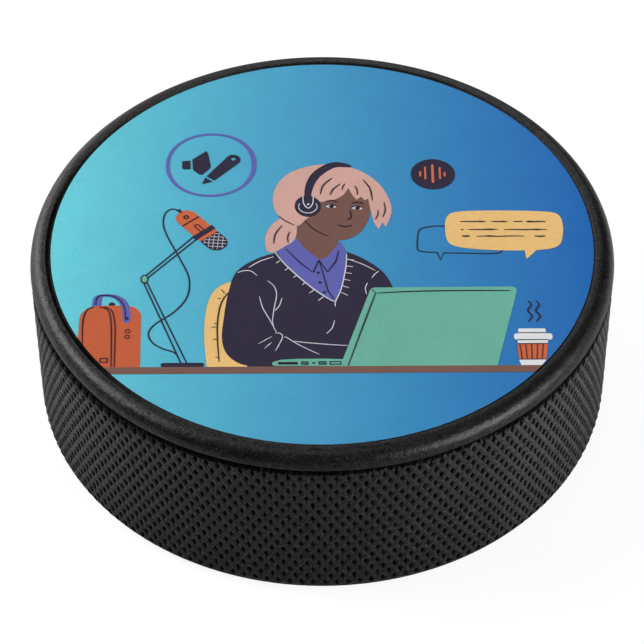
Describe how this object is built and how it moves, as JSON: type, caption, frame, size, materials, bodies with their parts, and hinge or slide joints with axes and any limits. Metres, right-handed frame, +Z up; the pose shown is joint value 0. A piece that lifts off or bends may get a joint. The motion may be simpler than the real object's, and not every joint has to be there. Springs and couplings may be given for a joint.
{
  "type": "hockey puck",
  "caption": "Round ice hockey puck of black rubber with a knurled side, smooth rounded shoulders and a colour picture printed on its top face.",
  "frame": {"origin": "centre of the flat underside, on the puck's axis", "axes": "+Z up along the puck's axis, from the underside to the printed face; +X to the right and +Y to the top of the picture, seen from above"},
  "size_m": [0.0762, 0.0762, 0.0254],
  "materials": {
    "rubber": "matte black vulcanised rubber, satin on the shoulders",
    "white_undercoat": "matte white base ink",
    "background_ink": "satin ink graded from teal to blue",
    "desk_ink": "satin brown ink",
    "bag_ink": "satin orange ink",
    "microphone_ink": "satin orange ink",
    "violet_ink": "satin violet ink",
    "yellow_ink": "satin warm yellow ink",
    "navy_ink": "satin dark navy ink",
    "green_ink": "satin sea green ink",
    "hair_ink": "satin dusty pink ink",
    "skin_ink": "satin brown ink",
    "cup_white_ink": "satin white ink",
    "cup_sleeve_ink": "satin orange ink",
    "dark_line_ink": "satin dark line ink",
    "light_line_ink": "satin light line ink",
    "sound_bar_ink": "satin coral ink"
  },
  "bodies": {
    "root": {"puck_body": "rubber", "white_undercoat": "white_undercoat", "background_ink": "background_ink", "desk_ink": "desk_ink", "bag_ink": "bag_ink", "microphone_ink": "microphone_ink", "violet_ink": "violet_ink", "yellow_ink": "yellow_ink", "navy_ink": "navy_ink", "green_ink": "green_ink", "hair_ink": "hair_ink", "skin_ink": "skin_ink", "cup_white_ink": "cup_white_ink", "cup_sleeve_ink": "cup_sleeve_ink", "dark_line_ink": "dark_line_ink", "light_line_ink": "light_line_ink", "sound_bar_ink": "sound_bar_ink"}
  },
  "joints": []
}
